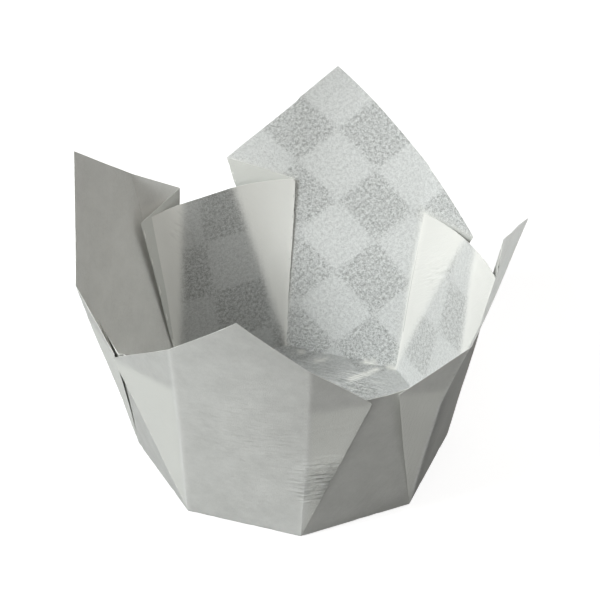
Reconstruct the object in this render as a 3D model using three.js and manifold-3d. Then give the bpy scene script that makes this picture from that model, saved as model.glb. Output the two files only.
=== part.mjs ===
// Baking cup with four pointed petals, folded from one square sheet of greaseproof paper.
// Millimetres, +Z up. The origin is the middle of the flat base, on its underside.
//
// The sheet is creased round an octagon. Its four corners stand up as petals and the middles
// of its four edges stand up between them as side walls. At each corner of the octagon the
// spare paper makes one pleat: the petal wraps on round the outside of the side wall, turns
// back on itself at an outer fold, and becomes the side wall at an inner fold. No facet is
// stretched, so the cup could be opened out into the square again.
import * as THREE from 'three';
import { mergeVertices } from 'three/addons/utils/BufferGeometryUtils.js';
import Module from 'manifold-3d';

const wasm = await Module();
wasm.setup();

// Driving dimensions
const paper = 0.3; // thickness of the sheet
const sheetSide = 115; // side of the flat square
const sheetTurn = 2.8; // degrees between the square and the base
const sheetOffset = new THREE.Vector3(0.2, 0.3, 0); // middle of the square from the middle of the base
const baseAcross = 50; // base octagon, across its flats
const beadRadius = 0.18; // round of the paper at a fold
const beadSides = 6;
const foldGrain = 0.004; // finest detail kept where folds run into each other
const facetStep = 8; // longest stretch of a facet that stays flat where the paper curls

// The eight sides in turn, anticlockwise from above. Facing is the way a side looks and lean is
// how far it tips outwards, both in degrees. A petal's curl is how far its point stands proud of
// the flat petal, in millimetres.
const sides = [
  { facing: -90, lean: 9.5 },
  { facing: -45, lean: 11.6, petal: true, curl: 3.8 },
  { facing: 0, lean: 11.3 },
  { facing: 45, lean: 11.3, petal: true, curl: -0.5 },
  { facing: 90, lean: 7.2 },
  { facing: 135, lean: 9.3, petal: true, curl: 3.7 },
  { facing: 180, lean: 10.4 },
  { facing: 225, lean: 11, petal: true, curl: 3.6 },
];

// The pleat at the far end of each side, in degrees. Open is how far it stands off its side
// wall, turn is how far short of the corner the petal turns, bulge is how far the petal bellies
// out there, and tuck is how far short of the corner the inner fold lies.
const pleats = [
  { open: 17, turn: -0.8, bulge: 4.7, tuck: 1.8 },
  { open: 41, turn: -6, bulge: -1.1, tuck: 2.6 },
  { open: 27, turn: 0.2, bulge: 0.2, tuck: 2.2 },
  { open: 35, turn: -1.6, bulge: -0.5, tuck: 2.1 },
  { open: 29, turn: -2.3, bulge: 2.3, tuck: -1.8 },
  { open: 21.5, turn: -6.7, bulge: 0.4, tuck: 5.8 },
  { open: 24, turn: 5.4, bulge: 1.7, tuck: 3.3 },
  { open: 25.5, turn: -3.3, bulge: -0.9, tuck: 2.6 },
];

const curlStart = 20; // height at which the petals begin to curl
const curlEnd = 56; // height at which a curl has its stated size

const rad = THREE.MathUtils.degToRad;
const up = new THREE.Vector3(0, 0, 1);
const inradius = baseAcross / 2;
const corner = Math.PI / sides.length; // half the angle that one side of the base takes up
const circumradius = inradius / Math.cos(corner);
const baseHeight = paper / 2; // the middle of the base's thickness

const around = (angle) => new THREE.Vector3(Math.cos(angle), Math.sin(angle), 0);
const blend = (a, v, b, w) => v.clone().multiplyScalar(a).addScaledVector(w, b);

// A side's own directions: out of the cup, along the base anticlockwise, and up its wall.
function directions(side) {
  const facing = rad(side.facing);
  const lean = rad(side.lean);
  const out = around(facing);
  return {
    facing,
    lean,
    out,
    along: around(facing + Math.PI / 2),
    rise: blend(Math.sin(lean), out, Math.cos(lean), up),
    face: blend(Math.cos(lean), out, -Math.sin(lean), up),
  };
}

// The straight edge of the square sheet that a side wall ends at.
function sheetEdge(side) {
  return around(rad(side.facing + sheetTurn));
}

// How far the sheet reaches from a corner of the base, in the flat, towards an angle.
function reach(wall, base, angle) {
  const edge = sheetEdge(wall);
  const middle = sheetSide / 2 + edge.dot(sheetOffset);
  return (middle - edge.dot(base)) / edge.dot(around(angle));
}

// How far the line where two leaning neighbours meet is turned from the first one's rise.
function meetingAngle(side, next) {
  const turn = 2 * corner;
  const slope = (Math.tan(next.lean) - Math.cos(turn) * Math.tan(side.lean)) / Math.sin(turn);
  return Math.atan(slope * Math.cos(side.lean));
}

// The pleat between side i and the next: its corner on the base and the three points where
// its folds reach the edge of the sheet.
function foldPleat(i) {
  const here = sides[i];
  const next = sides[(i + 1) % sides.length];
  const wallSide = here.petal ? next : here;
  const wall = directions(wallSide);
  const petal = directions(here.petal ? here : next);
  const hand = here.petal ? -1 : 1; // the petal lies anticlockwise of the wall, or not
  const { open, turn, bulge, tuck } = pleats[i];
  const base = around(rad(here.facing) + corner).multiplyScalar(circumradius);

  const wallTurn = meetingAngle(wall, petal) - rad(tuck);
  const petalTurn = meetingAngle(petal, wall) - rad(turn);
  const inner = blend(Math.cos(wallTurn), wall.rise, hand * Math.sin(wallTurn), wall.along);
  const inPetal = blend(Math.cos(petalTurn), petal.rise, -hand * Math.sin(petalTurn), petal.along);
  const crease = blend(Math.cos(rad(bulge)), inPetal, Math.sin(rad(bulge)), petal.face);

  // The outer fold keeps the spare angle between crease and inner fold as it is in the flat.
  const spare = 2 * corner - wallTurn - petalTurn;
  const inWall = blend(Math.sin(wallTurn), wall.rise, -hand * Math.cos(wallTurn), wall.along);
  const across = blend(Math.cos(rad(open)), inWall, Math.sin(rad(open)), wall.face);
  const back = Math.atan(
    (crease.dot(inner) - Math.cos(spare)) / (Math.sin(spare) - crease.dot(across)),
  );
  const outer = blend(Math.cos(back), inner, Math.sin(back), across);

  const start = base.clone().setZ(baseHeight);
  const end = (direction, flatAngle) =>
    start.clone().addScaledVector(direction, reach(wallSide, base, flatAngle));
  const creaseFlat = petal.facing - hand * petalTurn;
  return {
    start,
    inner: end(inner, wall.facing + hand * wallTurn),
    outer: end(outer, wall.facing + hand * (wallTurn + back)),
    crease: end(crease, creaseFlat),
    flat: { base, crease: blend(1, base, reach(wallSide, base, creaseFlat), around(creaseFlat)) },
    petalTurn,
    bulge: rad(bulge),
  };
}

// The point of a petal in the flat, which is a corner of the sheet.
function petalPoint(side) {
  return blend(sheetSide * Math.SQRT1_2, around(rad(side.facing + sheetTurn)), 1, sheetOffset);
}

// Stands a petal up: a point of the flat sheet goes to its place on the leaning petal, which
// bellies out towards each of its creases.
function standPetal(side, right, left) {
  const { out, along, rise, face } = directions(side);
  const halfBase = inradius * Math.tan(corner);
  return (flat) => {
    const height = flat.dot(out) - inradius;
    const rightEdge = -halfBase - height * Math.tan(right.petalTurn);
    const leftEdge = halfBase + height * Math.tan(left.petalTurn);
    const place = (flat.dot(along) - rightEdge) / (leftEdge - rightEdge);
    const belly =
      Math.tan(right.bulge) * (1 - place) ** 2 + Math.tan(left.bulge) * place ** 2;
    return blend(inradius, out, flat.dot(along), along)
      .addScaledVector(rise, height)
      .addScaledVector(face, height * belly)
      .addScaledVector(up, baseHeight);
  };
}

// The gentle curl of the standing petals, which carries every layer along with it.
function curled(point) {
  const height = Math.max(0, (point.z - curlStart) / (curlEnd - curlStart));
  const bent = point.clone();
  for (const side of sides.filter((s) => s.petal)) {
    const { out, along } = directions(side);
    const turned = Math.atan2(Math.abs(point.dot(along)), point.dot(out));
    const share = 1 - THREE.MathUtils.smoothstep(turned, corner, 2 * corner);
    bent.addScaledVector(out, share * side.curl * height * height);
  }
  return bent;
}

// A closed solid from welded points and triangles that face outwards.
function solid(points, triangles) {
  return new wasm.Manifold(
    new wasm.Mesh({
      numProp: 3,
      vertProperties: new Float32Array(points.flatMap((p) => curled(p).toArray())),
      triVerts: new Uint32Array(triangles.flat()),
    }),
  );
}

// A facet of paper with its thickness, cut small enough to curl. The corners lie in a plane,
// and stand puts a point of that plane in its place on the cup.
function facet(corners, stand = (p) => p.clone()) {
  const longest = Math.max(
    ...corners.map((p, k) => p.distanceTo(corners[(k + 1) % corners.length])),
  );
  const cuts = Math.ceil(longest / facetStep);
  const points = [];
  const places = new Map();
  const weld = (p) => {
    const key = p.toArray().map((c) => Math.round(c * 1e5)).join();
    if (!places.has(key)) {
      places.set(key, points.length);
      points.push(stand(p));
    }
    return places.get(key);
  };
  const skin = [];
  for (let k = 1; k < corners.length - 1; k++) {
    const [a, b, c] = [corners[0], corners[k], corners[k + 1]];
    const at = (i, j) =>
      weld(blend(1 - (i + j) / cuts, a, i / cuts, b).addScaledVector(c, j / cuts));
    for (let i = 0; i < cuts; i++) {
      for (let j = 0; j < cuts - i; j++) {
        skin.push([at(i, j), at(i + 1, j), at(i, j + 1)]);
        if (i + j < cuts - 1) {
          skin.push([at(i + 1, j), at(i + 1, j + 1), at(i, j + 1)]);
        }
      }
    }
  }
  const face = new THREE.Vector3();
  for (const [a, b, c] of skin) {
    const edge = points[b].clone().sub(points[a]);
    face.add(edge.cross(points[c].clone().sub(points[a])));
  }
  face.normalize();
  const count = points.length;
  const both = [paper / 2, -paper / 2].flatMap((half) =>
    points.map((p) => p.clone().addScaledVector(face, half)),
  );
  const triangles = skin.flatMap(([a, b, c]) => [
    [a, b, c],
    [c + count, b + count, a + count],
  ]);
  const rim = new Set(skin.flatMap(([a, b, c]) => [`${a},${b}`, `${b},${c}`, `${c},${a}`]));
  for (const key of rim) {
    const [a, b] = key.split(',').map(Number);
    if (!rim.has(`${b},${a}`)) {
      triangles.push([a, a + count, b + count], [a, b + count, b]);
    }
  }
  return solid(both, triangles);
}

// The round of the paper along a fold.
function bead(from, to) {
  const way = to.clone().sub(from);
  const cuts = Math.ceil(way.length() / facetStep);
  const aside = new THREE.Vector3(-way.y, way.x, 0).normalize();
  const over = way.clone().cross(aside).normalize();
  const points = [];
  for (let i = 0; i <= cuts; i++) {
    for (let k = 0; k < beadSides; k++) {
      const angle = (2 * Math.PI * (k + 0.5)) / beadSides;
      const ring = blend(Math.cos(angle), aside, Math.sin(angle), over);
      points.push(from.clone().addScaledVector(way, i / cuts).addScaledVector(ring, beadRadius));
    }
  }
  const triangles = [];
  const last = cuts * beadSides;
  for (let k = 0; k < beadSides; k++) {
    const n = (k + 1) % beadSides;
    for (let i = 0; i < cuts; i++) {
      const row = i * beadSides;
      triangles.push([row + k, row + n, row + beadSides + n]);
      triangles.push([row + k, row + beadSides + n, row + beadSides + k]);
    }
    if (k > 0 && n > 0) {
      triangles.push([0, n, k]);
      triangles.push([last, last + k, last + n]);
    }
  }
  return solid(points, triangles);
}

// A closed solid from one of the library's box shapes.
function boxSolid(geometry) {
  const box = geometry.clone();
  box.deleteAttribute('normal');
  box.deleteAttribute('uv');
  const merged = mergeVertices(box);
  return new wasm.Manifold(
    new wasm.Mesh({
      numProp: 3,
      vertProperties: new Float32Array(merged.attributes.position.array),
      triVerts: new Uint32Array(merged.index.array),
    }),
  );
}

// The whole sheet, folded
const folded = sides.map((side, i) => foldPleat(i));
const pieces = [facet(folded.map((pleat) => pleat.start))];
sides.forEach((side, i) => {
  const right = folded[(i + sides.length - 1) % sides.length];
  const left = folded[i];
  if (side.petal) {
    const outline = [
      right.flat.base, left.flat.base, left.flat.crease, petalPoint(side), right.flat.crease,
    ];
    pieces.push(facet(outline, standPetal(side, right, left)));
  } else {
    pieces.push(facet([right.start, left.start, left.inner, right.inner]));
  }
  pieces.push(facet([left.start, left.crease, left.outer]));
  pieces.push(facet([left.start, left.outer, left.inner]));
  pieces.push(bead(right.start, left.start));
  pieces.push(bead(left.start, left.crease));
  pieces.push(bead(left.start, left.outer));
  pieces.push(bead(left.start, left.inner));
});

let cup = pieces[0];
for (const piece of pieces.slice(1)) {
  cup = cup.add(piece);
}

// The underside is trimmed flat, so that the base rests on all of its face.
const underside = new THREE.BoxGeometry(baseAcross * 2, baseAcross * 2, paper);
underside.translate(0, 0, -paper / 2);
cup = cup.subtract(boxSolid(underside)).simplify(foldGrain);

const surface = cup.getMesh();
const geometry = new THREE.BufferGeometry();
geometry.setAttribute('position', new THREE.BufferAttribute(surface.vertProperties, 3));
geometry.setIndex(new THREE.BufferAttribute(surface.triVerts, 1));
geometry.computeVertexNormals();
const greaseproof = new THREE.MeshStandardMaterial({
  color: 0xdfe1dd,
  roughness: 0.6,
  metalness: 0,
  flatShading: true,
});
const paperCup = new THREE.Mesh(geometry, greaseproof);
paperCup.name = 'paper_cup';

const model = new THREE.Group();
model.name = 'baking_cup';
model.add(paperCup);
export default model;
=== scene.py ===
import math
import bpy
import bmesh
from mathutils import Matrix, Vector, noise


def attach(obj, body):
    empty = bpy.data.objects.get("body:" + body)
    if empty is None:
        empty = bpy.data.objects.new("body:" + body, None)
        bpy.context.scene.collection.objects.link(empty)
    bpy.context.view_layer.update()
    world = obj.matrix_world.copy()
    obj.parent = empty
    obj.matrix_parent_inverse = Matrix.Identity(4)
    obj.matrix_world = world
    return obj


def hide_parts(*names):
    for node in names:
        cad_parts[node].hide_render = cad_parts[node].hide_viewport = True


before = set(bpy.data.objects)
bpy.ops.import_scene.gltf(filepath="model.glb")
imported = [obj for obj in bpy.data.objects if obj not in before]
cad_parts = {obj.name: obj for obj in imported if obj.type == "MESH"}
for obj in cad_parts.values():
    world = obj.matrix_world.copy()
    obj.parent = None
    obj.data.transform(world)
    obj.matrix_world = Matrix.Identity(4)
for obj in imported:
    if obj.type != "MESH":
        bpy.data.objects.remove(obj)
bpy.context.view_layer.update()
print("frame loaded:", len(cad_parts), "node")

mm = 0.001
tiny = 1e-6
up = Vector((0, 0, 1))


# camera, at the photograph's angle
view = {
    "turn": -25.3,        # degrees round the cup
    "height": 36.9,       # degrees above the table
    "distance": 1.0,
    "lens": 346.0,
    "sensor": 36.0,
    "aim": (0, 0, 0.020),  # the point that the picture is framed by
    "aimRight": 0.00116,  # how far the middle of the picture is from it
    "aimUp": 0.00843,
    "near": 0.05,         # the camera sees from here to there
    "far": 20,
}


def makeCamera():
    turn, height = math.radians(view["turn"]), math.radians(view["height"])
    right = Vector((math.cos(turn), math.sin(turn), 0))
    back = right.cross(up) * math.cos(height) + up * math.sin(height)
    middle = Vector(view["aim"]) + right * view["aimRight"] + back.cross(right) * view["aimUp"]
    bpy.ops.object.camera_add(location=middle + back * view["distance"])
    camera = bpy.context.object
    camera.rotation_euler = (-back).to_track_quat("-Z", "Y").to_euler()
    camera.data.lens = view["lens"]
    camera.data.sensor_width = view["sensor"]
    camera.data.clip_start = view["near"]
    camera.data.clip_end = view["far"]
    bpy.context.scene.camera = camera


makeCamera()
print("camera set")


# the sheet, its folds and how each side stands; millimetres and degrees
sheet = {
    "side": 114.6,        # the flat square
    "turn": 2.8,          # the square against the base
    "offset": (0.7, 0.8, 0),
    "baseAcross": 50,     # octagon base, across flats
    "baseHeight": 0.15,   # middle of the paper above the table
    "paper": 0.09,
    "mesh": 0.7,          # one square of the mesh
    "cut": 0.75,          # how wide a fold cuts the mesh, in its squares
    "weld": 0.02,         # corners of the mesh this near each other become one
    "sharp": 20,          # bends above this angle look sharp
    # the base's squares, and its painted light and shade inside and outside
    "base": {"check": 0.9, "paintedLightInside": 0.72, "outer": 1.0},
}

# check is how clearly the inside of a side shows the squares in the paper, as the light on that side
# brings them out; the last two values are painted light and shade, how pale a single layer is painted
# inside and outside for how that side is lit
sides = [
    {"facing": -90, "lean": 12.0, "check": 0.5, "paintedLightInside": 1.0, "outer": 0.97},
    {"facing": -45, "lean": 14.2, "curl": 1.9, "check": 0.2, "paintedLightInside": 0.95, "outer": 0.3},
    {"facing": 0, "lean": 15.4, "check": 0.8, "paintedLightInside": 1.02, "outer": 1.0},
    {"facing": 45, "lean": 14.3, "curl": -1.4, "check": 1.0, "paintedLightInside": 1.08, "outer": 1.0},
    {"facing": 90, "lean": 11.5, "check": 1.0, "paintedLightInside": 0.68, "outer": 1.0},
    {"facing": 135, "lean": 13.4, "curl": 1.1, "check": 0.12, "paintedLightInside": 1.08, "outer": 1.0},
    {"facing": 180, "lean": 15.5, "check": 0.4, "paintedLightInside": 1.0, "outer": 1.0},
    {"facing": 225, "lean": 12.6, "curl": 3.0, "check": 0.4, "paintedLightInside": 1.12, "outer": 1.12},
]

# the pleat after each side, in degrees: how far it stands off the wall's margin, how far short
# of the corner the petal turns, how far the petal bellies out there, how far short of the
# corner the inner fold lies, and how far the wall's margin bends inwards
pleats = [
    {"open": 8.4, "turn": 0.9, "bulge": 2.8, "tuck": 2.7, "flap": 11.9},
    {"open": 23.4, "turn": -5, "bulge": -3.2, "tuck": 0.9, "flap": 9},
    {"open": 12.5, "turn": 3.1, "bulge": -3.3, "tuck": 2.4, "flap": 16},
    {"open": 17.1, "turn": 2, "bulge": -5.5, "tuck": 1.9, "flap": 19.3},
    {"open": 6.2, "turn": -3.3, "bulge": 1.2, "tuck": -2.1, "flap": 15.3},
    {"open": 4, "turn": -3.2, "bulge": -2, "tuck": 6.4, "flap": 5},
    {"open": 10.2, "turn": 10, "bulge": -1.7, "tuck": 2.5, "flap": 14.8},
    {"open": 14.9, "turn": -1.3, "bulge": -3.3, "tuck": 2.9, "flap": 11.4},
]

# heights between which a petal curls towards its tip
curling = {"start": 20, "end": 56}

# the margin's own curve, as a share of its bend, and the slack of the whole sheet
slack = {"margin": 0.6, "wave": 0.35, "length": 17, "start": 2, "end": 16, "seed": 34}
noise.seed_set(slack["seed"])

# how far inside its edge a stack of layers begins to show and is full, and how much ahead of
# the base's corner a point of it lies
stackEdge = {"start": -1.0, "end": 1.2, "ahead": 0.3}

# folds that a finger pushed out of line: how far up, where the push ends, degrees to each
# side that it pulls along, and which way it goes
pushes = [
    {"pleat": 0, "fold": "crease", "up": 27, "end": 62, "spread": 22, "move": (-3.4, -1.4, 0.6)},
]

# where the paper is crumpled and how much more than elsewhere, and the painted light (above 0) and
# painted shade (below 0) there: shadow in the wrinkles and the pocket at pleat 4, lighter and darker
# patches on the base
crumples = [
    {"side": 0, "aside": -14.5, "up": 13.5, "size": 9.0, "depth": 30, "paintedLightAndShade": -0.34},
    {"side": 4, "aside": 5, "up": 28, "size": 7, "depth": 7, "paintedLightAndShade": 0},
    {"side": 3, "aside": -6, "up": -7, "size": 8, "depth": 18, "paintedLightAndShade": 0.16},
    {"side": 3, "aside": 2, "up": -4, "size": 8, "depth": 8, "paintedLightAndShade": -0.2},
    {"side": 3, "aside": 7, "up": -3, "size": 4, "depth": 12, "paintedLightAndShade": -0.1},
    {"side": 7, "aside": 4, "up": 26, "size": 18, "depth": 1.2, "paintedLightAndShade": 0.02},
    {"side": 2, "aside": 4, "up": 22, "size": 7, "depth": 5, "paintedLightAndShade": 0},
    # painted shade only, on the petal's single-layer margin beside pleat 4, which lies in shadow
    {"pleat": 4, "fold": "outer", "up": 42, "size": 13, "depth": 0, "paintedLightAndShade": -0.35},
]

# painted highlights: pale strokes where crumpled facets at the back of the base catch the light, on the
# flat sheet
strokeHighlights = [
    {"from": (16.3, 11.0, 0), "to": (19.9, 11.2, 0)},
    {"from": (19.9, 11.2, 0), "to": (22.0, 11.6, 0)},
    {"from": (13.2, 18.5, 0), "to": (14.8, 18.1, 0)},
    {"from": (20.9, 14.4, 0), "to": (22.5, 13.4, 0)},
    {"from": (24.2, 11.3, 0), "to": (25.0, 10.4, 0)},
    {"from": (11.7, 22.0, 0), "to": (12.1, 22.0, 0)},
]

# how wide a painted highlight along a stroke or fold is, and how much paler a stroke is than a fold
highlightBands = {"strokeWidth": 0.9, "strokeDepth": 1.6, "foldWidth": 0.8}

# the base, and the angle from the middle of a side to its corner
inradius = sheet["baseAcross"] / 2
corner = math.pi / 8
circumradius = inradius / math.cos(corner)


def around(angle):
    return Vector((math.cos(angle), math.sin(angle), 0))


def flatCross(a, b):
    return a.x * b.y - a.y * b.x


def directions(side):
    facing, lean = math.radians(side["facing"]), math.radians(side["lean"])
    out = around(facing)
    return {
        "facing": facing,
        "lean": lean,
        "out": out,
        "along": around(facing + math.pi / 2),
        "rise": out * math.sin(lean) + up * math.cos(lean),
        "face": out * math.cos(lean) - up * math.sin(lean),
    }


def meetingAngle(side, other):
    # the angle from a side's steepest line to where two leaning sides would meet
    rise = math.tan(other["lean"]) - math.cos(2 * corner) * math.tan(side["lean"])
    return math.atan(rise / math.sin(2 * corner) * math.cos(side["lean"]))


def foldPleat(i):
    here, after = sides[i], sides[(i + 1) % 8]
    isPetal = "curl" in here
    wall, petal = directions(after if isPetal else here), directions(here if isPetal else after)
    hand = -1 if isPetal else 1
    pleat = {name: math.radians(value) for name, value in pleats[i].items()}
    base = around(math.radians(here["facing"]) + corner) * circumradius
    wallTurn = meetingAngle(wall, petal) - pleat["tuck"]
    petalTurn = meetingAngle(petal, wall) - pleat["turn"]
    spare = 2 * corner - wallTurn - petalTurn

    # half of the spare angle is the wall's margin, which ends at the inner fold
    bendTurn = wallTurn - spare / 2
    bend = wall["rise"] * math.cos(bendTurn) + wall["along"] * hand * math.sin(bendTurn)
    onWall = wall["along"] * hand * math.cos(bendTurn) - wall["rise"] * math.sin(bendTurn)
    margin = onWall * math.cos(pleat["flap"]) - wall["face"] * math.sin(pleat["flap"])
    marginFace = wall["face"] * math.cos(pleat["flap"]) + onWall * math.sin(pleat["flap"])
    inner = bend * math.cos(spare / 2) + margin * math.sin(spare / 2)

    # the outer fold keeps the angle between crease and inner fold as it is in the flat
    inPetal = petal["rise"] * math.cos(petalTurn) - petal["along"] * hand * math.sin(petalTurn)
    crease = inPetal * math.cos(pleat["bulge"]) + petal["face"] * math.sin(pleat["bulge"])
    inMargin = bend * math.sin(spare / 2) - margin * math.cos(spare / 2)
    across = inMargin * math.cos(pleat["open"]) + marginFace * math.sin(pleat["open"])
    back = math.atan((crease.dot(inner) - math.cos(spare)) / (math.sin(spare) - crease.dot(across)))
    outer = inner * math.cos(back) + across * math.sin(back)
    innerFlat = wall["facing"] + hand * wallTurn
    return {
        "base": base,
        "hand": hand,
        "petalTurn": petalTurn,
        "bulge": pleat["bulge"],
        "flap": pleat["flap"],
        "halfSpare": spare / 2,
        "marginFace": marginFace,
        "flat": {
            "bend": around(wall["facing"] + hand * bendTurn),
            "inner": around(innerFlat),
            "outer": around(innerFlat + hand * back),
            "crease": around(petal["facing"] - hand * petalTurn),
            "seen": around(innerFlat - hand * back),
            "mirrored": around(innerFlat + 2 * hand * back),
        },
        "stood": {"bend": bend, "inner": inner, "outer": outer, "crease": crease},
    }


folds = [foldPleat(i) for i in range(8)]


def reach(i, ray):
    wallSide = sides[(i + 1) % 8] if "curl" in sides[i] else sides[i]
    edge = around(math.radians(wallSide["facing"] + sheet["turn"]))
    middle = sheet["side"] / 2 + edge.dot(Vector(sheet["offset"]))
    return (middle - edge.dot(folds[i]["base"])) / edge.dot(ray)


def between(point, first, second):
    # a point of the flat as shares of two rays
    whole = flatCross(first, second)
    return flatCross(point, second) / whole, flatCross(first, point) / whole


def standSide(i, point):
    # a point of a wall or petal, stood up; a petal bellies out towards each crease
    d = directions(sides[i])
    height, aside = point.dot(d["out"]) - inradius, point.dot(d["along"])
    stood = d["out"] * inradius + d["along"] * aside + d["rise"] * height
    if "curl" in sides[i]:
        right, left = folds[i - 1], folds[i]
        halfBase = inradius * math.tan(corner)
        rightEdge = -halfBase - height * math.tan(right["petalTurn"])
        leftEdge = halfBase + height * math.tan(left["petalTurn"])
        place = (aside - rightEdge) / (leftEdge - rightEdge)
        belly = math.tan(right["bulge"]) * (1 - place) ** 2 + math.tan(left["bulge"]) * place ** 2
        stood += d["face"] * height * belly
    return stood


def foldPoint(point):
    # where a point of the flat sheet lies when the cup is folded
    lift = up * sheet["baseHeight"]
    if all(point.dot(directions(s)["out"]) <= inradius + tiny for s in sides):
        return point + lift
    for fold in folds:
        away = point - fold["base"]
        for first, second in (("bend", "inner"), ("inner", "outer"), ("outer", "crease")):
            a, b = between(away, fold["flat"][first], fold["flat"][second])
            if a >= -tiny and b >= -tiny:
                stood = fold["stood"][first] * a + fold["stood"][second] * b
                if first == "bend":
                    share = b / max(a + b, tiny)
                    curve = fold["flap"] * fold["halfSpare"] * slack["margin"] * share * (1 - share)
                    stood += fold["marginFace"] * away.length * curve
                return fold["base"] + stood + lift
    for i, side in enumerate(sides):
        if point.dot(directions(side)["out"]) < inradius - tiny:
            continue
        edgeName = "crease" if "curl" in side else "bend"
        right, left = folds[i - 1], folds[i]
        pastRight = flatCross(right["flat"][edgeName], point - right["base"]) >= -tiny
        beforeLeft = flatCross(left["flat"][edgeName], point - left["base"]) <= tiny
        if pastRight and beforeLeft:
            return standSide(i, point) + lift
    raise ValueError("no facet at " + str(point))


def smoothStep(value, low, high):
    t = min(1, max(0, (value - low) / (high - low)))
    return t * t * (3 - 2 * t)


def curlPoint(point):
    height = max(0, (point.z - curling["start"]) / (curling["end"] - curling["start"]))
    bent = point.copy()
    for side in sides:
        if "curl" in side:
            d = directions(side)
            turned = math.atan2(abs(point.dot(d["along"])), point.dot(d["out"]))
            share = 1 - smoothStep(turned, corner, 2 * corner)
            bent += d["out"] * share * side["curl"] * height ** 2
    return bent


def placeOf(spot):
    # where a spot lies on the flat sheet
    if "pleat" in spot:
        fold = folds[spot["pleat"]]
        return fold["base"] + fold["flat"][spot["fold"]] * spot["up"]
    d = directions(sides[spot["side"]])
    return d["out"] * (inradius + spot["up"]) + d["along"] * spot["aside"]


def pushed(flat):
    # how far the pushes move a point of the flat sheet
    moved = Vector((0, 0, 0))
    for push in pushes:
        fold = folds[push["pleat"]]
        away = flat - fold["base"]
        reached = max(away.length, tiny)
        along = min(reached / push["up"], (push["end"] - reached) / (push["end"] - push["up"]))
        angle = math.acos(max(-1, min(1, away.dot(fold["flat"][push["fold"]]) / reached)))
        share = max(0, along) * max(0, 1 - angle / math.radians(push["spread"]))
        moved += Vector(push["move"]) * share
    return moved


def spotShare(flat, spot):
    return 1 - smoothStep((flat - placeOf(spot)).length, 0, spot["size"])


def crumpledHere(flat):
    return 1 + sum(spot["depth"] * spotShare(flat, spot) for spot in crumples)


def paintedLightAndShadeHere(flat):
    return sum(spot["paintedLightAndShade"] * spotShare(flat, spot) for spot in crumples)


def strokeHighlightNear(flat):
    # above 0 in the strokes of painted highlight
    near = math.inf
    for stroke in strokeHighlights:
        start, end = Vector(stroke["from"]), Vector(stroke["to"])
        share = min(1, max(0, (flat - start).dot(end - start) / (end - start).length_squared))
        near = min(near, (flat - start.lerp(end, share)).length)
    return highlightBands["strokeDepth"] * (1 - smoothStep(near, 0, highlightBands["strokeWidth"]))


def foldHighlightNear(point, name):
    # 1 along the folds of a name, where a pale highlight of the fold's edge is painted
    near = math.inf
    for fold in folds:
        away = point - fold["base"]
        if away.dot(fold["flat"][name]) > 0:
            near = min(near, abs(flatCross(fold["flat"][name], away)))
    return 1 - smoothStep(near, 0, highlightBands["foldWidth"])


def slackPoint(point):
    # the paper isn't quite flat between its folds; all layers move together
    height = smoothStep(point.z, slack["start"], slack["end"])
    return point + noise.noise_vector(point / slack["length"]) * slack["wave"] * height


def stackedHere(point):
    # 1 where three layers of paper lie together, 0 where there is one
    best = 0
    for i, fold in enumerate(folds):
        away = point - fold["base"]
        flat = fold["flat"]
        if away.length < tiny:
            return 1
        ray = away.normalized()
        if ray.dot(flat["outer"]) < stackEdge["ahead"]:
            continue
        low = flatCross(flat["seen"], ray) * fold["hand"]
        high = flatCross(ray, flat["crease"]) * fold["hand"]
        gap = min(low, high) * away.length
        if flatCross(flat["outer"], ray) * fold["hand"] > 0:
            # the petal's own margin stands clear of the pleat above the pleat's edge
            first = flat["outer"] * reach(i, flat["outer"])
            edge = flat["mirrored"] * reach(i, flat["inner"]) - first
            gap = min(gap, flatCross(edge, away - first) * fold["hand"] / edge.length)
        best = max(best, smoothStep(gap, stackEdge["start"], stackEdge["end"]))
    return best


def sideValue(point, name, edge="outer"):
    # a value of the side, or of the base, that a point of the flat sheet belongs to; sides end
    # at their outer folds, or at the creases that the petals turn round
    for i, side in enumerate(sides):
        if point.dot(directions(side)["out"]) < inradius:
            continue
        right, left = folds[i - 1], folds[i]
        pastRight = flatCross(right["flat"][edge], point - right["base"]) >= 0
        beforeLeft = flatCross(left["flat"][edge], point - left["base"]) <= 0
        if pastRight and beforeLeft:
            return side[name]
    return sheet["base"][name]


def makeSheet():
    bpy.ops.object.select_all(action="DESELECT")
    cuts = round(sheet["side"] / sheet["mesh"])
    bpy.ops.mesh.primitive_grid_add(
        x_subdivisions=cuts, y_subdivisions=cuts, size=sheet["side"] * mm,
        rotation=(0, 0, math.radians(sheet["turn"])), location=Vector(sheet["offset"]) * mm,
        calc_uvs=True,
    )
    paper = bpy.context.object
    paper.name = "folded_sheet"
    bpy.ops.object.transform_apply(location=True, rotation=True, scale=True)
    paper.data.uv_layers[0].name = "sheetPlace"
    return paper


def creaseAlong(paper, start, end):
    # cut the mesh along one fold, in the squares that the fold crosses
    way = (end - start).normalized()
    aside = Vector((-way.y, way.x, 0))
    length = (end - start).length
    spread = sheet["mesh"] * sheet["cut"]
    shape = bmesh.from_edit_mesh(paper.data)
    for face in shape.faces:
        place = face.calc_center_median() / mm - start
        onWay, off = place.dot(way), abs(place.dot(aside))
        face.select = -spread < onWay < length + spread and off < spread
    bmesh.update_edit_mesh(paper.data)
    bpy.ops.mesh.bisect(plane_co=start * mm, plane_no=aside)


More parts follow.
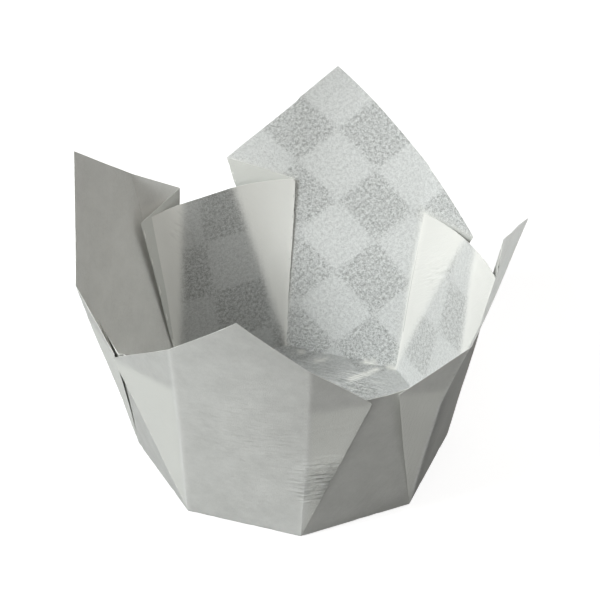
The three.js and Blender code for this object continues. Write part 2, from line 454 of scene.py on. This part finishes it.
def foldSheet(paper):
    bpy.ops.object.mode_set(mode="EDIT")
    bpy.ops.mesh.select_mode(type="FACE")
    for i, fold in enumerate(folds):
        bpy.ops.mesh.select_all(action="DESELECT")
        creaseAlong(paper, fold["base"], folds[(i + 1) % 8]["base"])
        for name in ("bend", "inner", "outer", "crease"):
            ray = fold["flat"][name]
            bpy.ops.mesh.select_all(action="DESELECT")
            creaseAlong(paper, fold["base"], fold["base"] + ray * (reach(i, ray) + 1))
    bpy.ops.mesh.select_all(action="SELECT")
    bpy.ops.mesh.remove_doubles(threshold=sheet["weld"] * mm)
    bpy.ops.object.mode_set(mode="OBJECT")
    painted = {
        "stack": stackedHere,
        "crumpled": crumpledHere,
        "check": lambda flat: sideValue(flat, "check"),
        "paintedLightInside": lambda flat: sideValue(flat, "paintedLightInside"),
        "outer": lambda flat: sideValue(flat, "outer", "crease"),
        "highlightInside": lambda flat: max(foldHighlightNear(flat, "inner"), strokeHighlightNear(flat)),
        "highlightOutside": lambda flat: foldHighlightNear(flat, "crease"),
        "paintedLightAndShade": paintedLightAndShadeHere,
    }
    flats = [vertex.co / mm for vertex in paper.data.vertices]
    for name, found in painted.items():
        attribute = paper.data.attributes.new(name, "FLOAT", "POINT")
        attribute.data.foreach_set("value", [found(flat) for flat in flats])
    for vertex, flat in zip(paper.data.vertices, flats):
        vertex.co = (slackPoint(curlPoint(foldPoint(flat))) + pushed(flat)) * mm


def thicken(paper):
    solidify = paper.modifiers.new("thickness", "SOLIDIFY")
    solidify.thickness = sheet["paper"] * mm
    solidify.offset = 0
    solidify.material_offset = 1
    solidify.material_offset_rim = 0
    bpy.ops.object.modifier_apply(modifier="thickness")


cup = makeSheet()
foldSheet(cup)
print("sheet folded:", len(cup.data.polygons), "faces")


# materials; their squares and noises lie on the flat sheet, in millimetres
check = {
    "square": 10.0,
    "startU": 0.59,   # squares between the sheet's corner and the first line
    "startV": 0.59,
    "edge": 0.09,     # how soft a square's edge is
    "ragged": 0.25,   # and how ragged
    "faint": 0.5,     # flecks in the glazed squares against the clear ones
}

# scale, detail and roughness
noises = {
    "ragged": (1.3, 3.0, 0.5),
    "grain": (1.7, 3.0, 0.7),
    "fineGrain": (4.1, 2.0, 0.8),
    "fibre": (4.0, 3.0, 0.7),
    "cloud": (0.22, 6.0, 0.78),
    "streak": (1.5, 3.0, 0.55),
}

# the stretch of each noise that runs from nothing to full
spans = {"grain": (0.66, 1.26), "cloud": (0.28, 0.72), "ridge": (0.54, 0.66), "furrow": (0.34, 0.46)}

# how streaks lie on the sheet, and how strongly the painted highlights and shade show: along the folds,
# and on the ridges and in the furrows of crumpled paper
streaks = {"turn": 48, "stretch": 0.22}
highlightAndShade = {"fold": 0.6, "crumple": 0.04, "ridge": 0.5, "furrow": 0.7}

# depth of the bumps in metres, and how much of the light passes three layers against one
layer = {"bumpDepth": 0.0001, "stackPasses": 0.3}


def give(tree, socket, value):
    # a socket gets a colour, a number or what another node sends
    if isinstance(value, tuple):
        socket.default_value = (*value, 1)
    elif isinstance(value, (int, float)):
        socket.default_value = value
    else:
        tree.links.new(value, socket)


def mathNode(tree, operation, *values):
    node = tree.nodes.new("ShaderNodeMath")
    node.operation = operation
    for socket, value in zip(node.inputs, values):
        give(tree, socket, value)
    return node.outputs[0]


def rangeNode(tree, value, fromLow, fromHigh, toLow=0.0, toHigh=1.0):
    node = tree.nodes.new("ShaderNodeMapRange")
    node.interpolation_type = "SMOOTHSTEP"
    tree.links.new(value, node.inputs["Value"])
    node.inputs["From Min"].default_value = fromLow
    node.inputs["From Max"].default_value = fromHigh
    node.inputs["To Min"].default_value = toLow
    node.inputs["To Max"].default_value = toHigh
    return node.outputs["Result"]


def noiseNode(tree, vector, name):
    node = tree.nodes.new("ShaderNodeTexNoise")
    tree.links.new(vector, node.inputs["Vector"])
    for inputName, value in zip(("Scale", "Detail", "Roughness"), noises[name]):
        node.inputs[inputName].default_value = value
    return node.outputs["Fac"]


def attributeNode(tree, name):
    node = tree.nodes.new("ShaderNodeAttribute")
    node.attribute_name = name
    return node.outputs["Fac"]


def mixNode(tree, share, first, second):
    # a mix of two colours
    node = tree.nodes.new("ShaderNodeMix")
    node.data_type = "RGBA"
    for name, value in (("Factor", share), ("A", first), ("B", second)):
        give(tree, node.inputs[name], value)
    return node.outputs["Result"]


def scaleNode(tree, colour, factor):
    node = tree.nodes.new("ShaderNodeVectorMath")
    node.operation = "SCALE"
    tree.links.new(colour, node.inputs[0])
    tree.links.new(factor, node.inputs["Scale"])
    return node.outputs["Vector"]


def makeCheckGroup():
    # from the place on the flat sheet to masks: 1 in the glazed squares, and the paper's noises
    group = bpy.data.node_groups.new("paperCheck", "ShaderNodeTree")
    group.interface.new_socket("Place", in_out="INPUT", socket_type="NodeSocketVector")
    group.interface.new_socket("Square", in_out="INPUT", socket_type="NodeSocketFloat")
    for name in ("Glazed", "Grain", "Fibre", "Cloud", "Streak"):
        group.interface.new_socket(name, in_out="OUTPUT", socket_type="NodeSocketFloat")
    entry = group.nodes.new("NodeGroupInput")
    leave = group.nodes.new("NodeGroupOutput")
    place = entry.outputs["Place"]
    split = group.nodes.new("ShaderNodeSeparateXYZ")
    group.links.new(place, split.inputs[0])
    waves = []
    for axis, start in (("X", check["startU"]), ("Y", check["startV"])):
        squares = mathNode(group, "DIVIDE", split.outputs[axis], entry.outputs["Square"])
        shifted = mathNode(group, "SUBTRACT", squares, start)
        waves.append(mathNode(group, "SINE", mathNode(group, "MULTIPLY", shifted, math.pi)))
    both = mathNode(group, "MULTIPLY", *waves)
    rough = mathNode(group, "SUBTRACT", noiseNode(group, place, "ragged"), 0.5)
    ragged = mathNode(group, "ADD", both, mathNode(group, "MULTIPLY", rough, check["ragged"]))
    group.links.new(rangeNode(group, ragged, -check["edge"], check["edge"]), leave.inputs["Glazed"])
    grains = noiseNode(group, place, "grain"), noiseNode(group, place, "fineGrain")
    grain = rangeNode(group, mathNode(group, "ADD", *grains), *spans["grain"])
    group.links.new(grain, leave.inputs["Grain"])
    group.links.new(noiseNode(group, place, "fibre"), leave.inputs["Fibre"])
    cloud = rangeNode(group, noiseNode(group, place, "cloud"), *spans["cloud"])
    group.links.new(cloud, leave.inputs["Cloud"])

    # fine creases that run across the sheet from corner to corner
    aslant = group.nodes.new("ShaderNodeMapping")
    aslant.inputs["Rotation"].default_value = (0, 0, math.radians(streaks["turn"]))
    group.links.new(place, aslant.inputs["Vector"])
    squash = group.nodes.new("ShaderNodeMapping")
    squash.inputs["Scale"].default_value = (streaks["stretch"], 1.0, 1.0)
    group.links.new(aslant.outputs["Vector"], squash.inputs["Vector"])
    group.links.new(noiseNode(group, squash.outputs["Vector"], "streak"), leave.inputs["Streak"])
    return group


checkGroup = makeCheckGroup()


def paperColour(tree, pattern, stack, values):
    # one layer shows the squares, where flecks are strong in the clear and faint in the glazed
    flecks = mathNode(tree, "SUBTRACT", 1.0, pattern.outputs["Grain"])
    faint = mathNode(tree, "MULTIPLY", flecks, check["faint"])
    clear = mixNode(tree, flecks, values["light"], values["fleck"])
    glazed = mixNode(tree, faint, values["light"], values["fleck"])
    squares = mixNode(tree, pattern.outputs["Glazed"], clear, glazed)
    plain = mixNode(tree, pattern.outputs["Cloud"], values["plainDark"], values["plain"])
    shown = mathNode(tree, "MULTIPLY", attributeNode(tree, "check"), values["check"])
    # a single layer is scaled by the painted light and shade of its side
    single = scaleNode(tree, mixNode(tree, shown, plain, squares), attributeNode(tree, values["paintedLightAttribute"]))
    whole = mixNode(tree, stack, single, values["stacked"])
    # painted highlight along the folds, and along the strokes on the inside
    paleHighlight = mathNode(tree, "MULTIPLY", attributeNode(tree, values["highlightPlace"]), highlightAndShade["fold"])
    highlighted = mixNode(tree, paleHighlight, whole, values["paleHighlight"])

    # crumpled paper gets a painted highlight on its ridges and painted shadow in its furrows
    more = mathNode(tree, "SUBTRACT", attributeNode(tree, "crumpled"), 1.0)
    much = mathNode(tree, "MULTIPLY", more, highlightAndShade["crumple"])
    high = rangeNode(tree, pattern.outputs["Streak"], *spans["ridge"], 0, highlightAndShade["ridge"])
    ridgeHighlighted = mixNode(tree, mathNode(tree, "MULTIPLY", much, high), highlighted, values["paleHighlight"])
    low = rangeNode(tree, pattern.outputs["Streak"], *spans["furrow"], highlightAndShade["furrow"], 0)
    furrowShaded = mixNode(tree, mathNode(tree, "MULTIPLY", much, low), ridgeHighlighted, values["fleck"])
    # the painted light and shade of the crumpled spots scales the colour
    return scaleNode(tree, furrowShaded, mathNode(tree, "ADD", attributeNode(tree, "paintedLightAndShade"), 1.0))


def makePaper(name, values):
    material = bpy.data.materials.new(name)
    material.use_nodes = True
    tree = material.node_tree
    shader = tree.nodes["Principled BSDF"]
    shader.inputs["Roughness"].default_value = values["roughness"]
    shader.inputs["Specular IOR Level"].default_value = values["shine"]
    place = tree.nodes.new("ShaderNodeUVMap")
    place.uv_map = "sheetPlace"
    grow = tree.nodes.new("ShaderNodeMapping")
    grow.inputs["Scale"].default_value = (sheet["side"],) * 3
    tree.links.new(place.outputs["UV"], grow.inputs["Vector"])
    pattern = tree.nodes.new("ShaderNodeGroup")
    pattern.node_tree = checkGroup
    pattern.inputs["Square"].default_value = check["square"]
    tree.links.new(grow.outputs["Vector"], pattern.inputs["Place"])
    stack = attributeNode(tree, "stack")
    tree.links.new(paperColour(tree, pattern, stack, values), shader.inputs["Base Color"])

    bump = tree.nodes.new("ShaderNodeBump")
    bump.inputs["Strength"].default_value = values["bump"]
    bump.inputs["Distance"].default_value = layer["bumpDepth"]
    deep = mathNode(tree, "MULTIPLY", attributeNode(tree, "crumpled"), values["streak"])
    rough = mathNode(tree, "MULTIPLY_ADD", pattern.outputs["Streak"], deep, pattern.outputs["Fibre"])
    tree.links.new(rough, bump.inputs["Height"])
    tree.links.new(bump.outputs["Normal"], shader.inputs["Normal"])

    # light comes through one layer, and little of it through three
    through = tree.nodes.new("ShaderNodeBsdfTranslucent")
    through.inputs["Color"].default_value = (*values["glow"], 1)
    passed = rangeNode(tree, stack, 0, 1, values["through"], values["through"] * layer["stackPasses"])
    both = tree.nodes.new("ShaderNodeMixShader")
    tree.links.new(passed, both.inputs[0])
    tree.links.new(shader.outputs[0], both.inputs[1])
    tree.links.new(through.outputs[0], both.inputs[2])
    tree.links.new(both.outputs[0], tree.nodes["Material Output"].inputs["Surface"])
    return material


outside = makePaper("paperOutside", {
    "roughness": 0.6, "shine": 0.25, "bump": 0.6, "streak": 1.3, "check": 0.12, "through": 0.25,
    "light": (0.58, 0.59, 0.58), "fleck": (0.36, 0.37, 0.36), "glow": (0.90, 0.89, 0.85),
    "plain": (0.64, 0.65, 0.64), "plainDark": (0.53, 0.54, 0.53), "stacked": (0.67, 0.68, 0.65),
    "paleHighlight": (0.82, 0.83, 0.82), "highlightPlace": "highlightOutside", "paintedLightAttribute": "outer",
})
inside = makePaper("paperInside", {
    "roughness": 0.6, "shine": 0.25, "bump": 0.6, "streak": 0.9, "check": 1.0, "through": 0.3,
    "light": (0.90, 0.92, 0.92), "fleck": (0.18, 0.19, 0.19), "glow": (0.92, 0.91, 0.87),
    "plain": (0.82, 0.82, 0.80), "plainDark": (0.72, 0.72, 0.70), "stacked": (0.83, 0.83, 0.80),
    "paleHighlight": (0.94, 0.94, 0.90), "highlightPlace": "highlightInside", "paintedLightAttribute": "paintedLightInside",
})
cup.data.materials.append(inside)
cup.data.materials.append(outside)
thicken(cup)
bpy.ops.object.shade_smooth_by_angle(angle=math.radians(sheet["sharp"]))
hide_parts("paper_cup")
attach(cup, "root")
print("paper finished")


# floor and light
studio = {
    "floor": 3.0,
    "floorDrop": 0.0002,
    "floorRoughness": 0.9,
    "floorShine": 0.1,
    "floorShade": 0.35,  # what the floor sends back
    "floorGlow": 0.85,   # and what it adds in the picture
    "world": 0.01,
    "worldGlow": 1.0,
}

# degrees round the cup and above the table, distance and size in metres
lamps = [
    {"name": "keyLamp", "turn": 184, "height": 45, "distance": 1.0, "size": 0.35,
     "power": 9.5, "colour": (0.97, 1.0, 1.0)},
    {"name": "fillLamp", "turn": -132, "height": 22, "distance": 1.2, "size": 0.7,
     "power": 3.8, "colour": (1.0, 0.98, 0.94)},
    {"name": "sideLamp", "turn": 0, "height": 66, "distance": 1.2, "size": 2.0,
     "power": 9.2, "colour": (1.0, 0.97, 0.93)},
]


def seenDirectly(tree):
    # 1 for what the camera sees by itself or in a reflection
    rays = tree.nodes.new("ShaderNodeLightPath")
    return mathNode(tree, "MAXIMUM", rays.outputs["Is Camera Ray"], rays.outputs["Is Glossy Ray"])


def makeFloor():
    bpy.ops.object.select_all(action="DESELECT")
    bpy.ops.mesh.primitive_plane_add(size=studio["floor"], location=(0, 0, -studio["floorDrop"]))
    floor = bpy.context.object
    floor.name = "floor"
    material = bpy.data.materials.new("floorWhite")
    material.use_nodes = True
    tree = material.node_tree
    shader = tree.nodes["Principled BSDF"]
    shader.inputs["Base Color"].default_value = (studio["floorShade"],) * 3 + (1,)
    shader.inputs["Roughness"].default_value = studio["floorRoughness"]
    shader.inputs["Specular IOR Level"].default_value = studio["floorShine"]
    shader.inputs["Emission Color"].default_value = (1, 1, 1, 1)
    glow = mathNode(tree, "MULTIPLY", seenDirectly(tree), studio["floorGlow"])
    tree.links.new(glow, shader.inputs["Emission Strength"])
    floor.data.materials.append(material)


def makeWorld():
    world = bpy.data.worlds.new("studio")
    bpy.context.scene.world = world
    world.use_nodes = True
    tree = world.node_tree
    plain = tree.nodes["Background"]
    plain.inputs["Color"].default_value = (1, 1, 1, 1)
    strength = rangeNode(tree, seenDirectly(tree), 0, 1, studio["world"], studio["worldGlow"])
    tree.links.new(strength, plain.inputs["Strength"])


def makeLamp(values):
    turn, height = math.radians(values["turn"]), math.radians(values["height"])
    way = around(turn) * math.cos(height) + up * math.sin(height)
    bpy.ops.object.light_add(type="AREA", location=way * values["distance"])
    lamp = bpy.context.object
    lamp.name = values["name"]
    lamp.rotation_euler = (-way).to_track_quat("-Z", "Y").to_euler()
    lamp.data.shape = "DISK"
    lamp.data.size = values["size"]
    lamp.data.energy = values["power"]
    lamp.data.color = values["colour"]


makeFloor()
makeWorld()
for values in lamps:
    makeLamp(values)
bpy.context.scene.view_settings.view_transform = "Standard"
print("studio lit")
